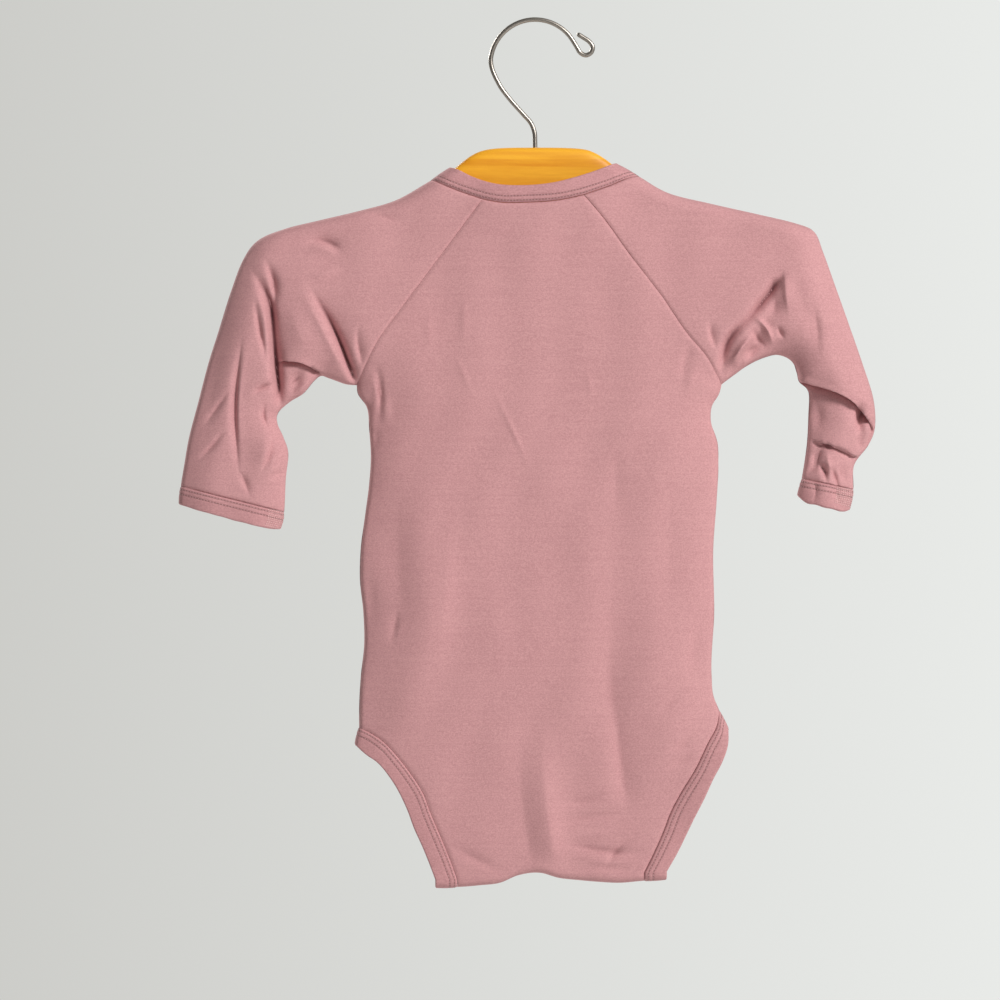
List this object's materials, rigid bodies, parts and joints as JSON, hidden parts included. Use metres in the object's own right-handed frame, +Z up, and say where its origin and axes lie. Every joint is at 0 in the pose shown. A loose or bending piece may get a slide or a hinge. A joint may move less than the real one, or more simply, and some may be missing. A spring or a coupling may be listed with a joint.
{
  "type": "baby bodysuit on a hanger",
  "caption": "Long-sleeved raglan baby bodysuit in plain jersey with bound neck, leg openings and cuffs, hanging from a wooden hanger with a wire hook.",
  "frame": {"origin": "inner top of the hook, where it bears on the peg that holds the hanger", "axes": "+Z up, +X to the right as seen from behind the garment, +Y out of its front; the back faces -Y"},
  "size_m": [0.418, 0.0315, 0.5223],
  "materials": {
    "jersey": "fine dusty-pink single jersey with a soft sheen",
    "binding": "the same jersey folded double and coverstitched",
    "snap": "dyed to match the cloth",
    "wood": "honey-coloured varnish",
    "steel": "satin nickel-plated wire"
  },
  "bodies": {
    "root": {"back_panel": "jersey", "front_panel": "jersey", "sleeve_left": "jersey", "sleeve_right": "jersey", "neck_band": "binding", "leg_binding_left": "binding", "leg_binding_right": "binding", "cuff_left": "binding", "cuff_right": "binding", "snap_cap_1": "snap", "snap_cap_2": "snap", "snap_cap_3": "snap", "snap_ring_1": "snap", "snap_ring_2": "snap", "snap_ring_3": "snap", "hanger_bar": "wood", "hanger_hook": "steel"}
  },
  "joints": []
}
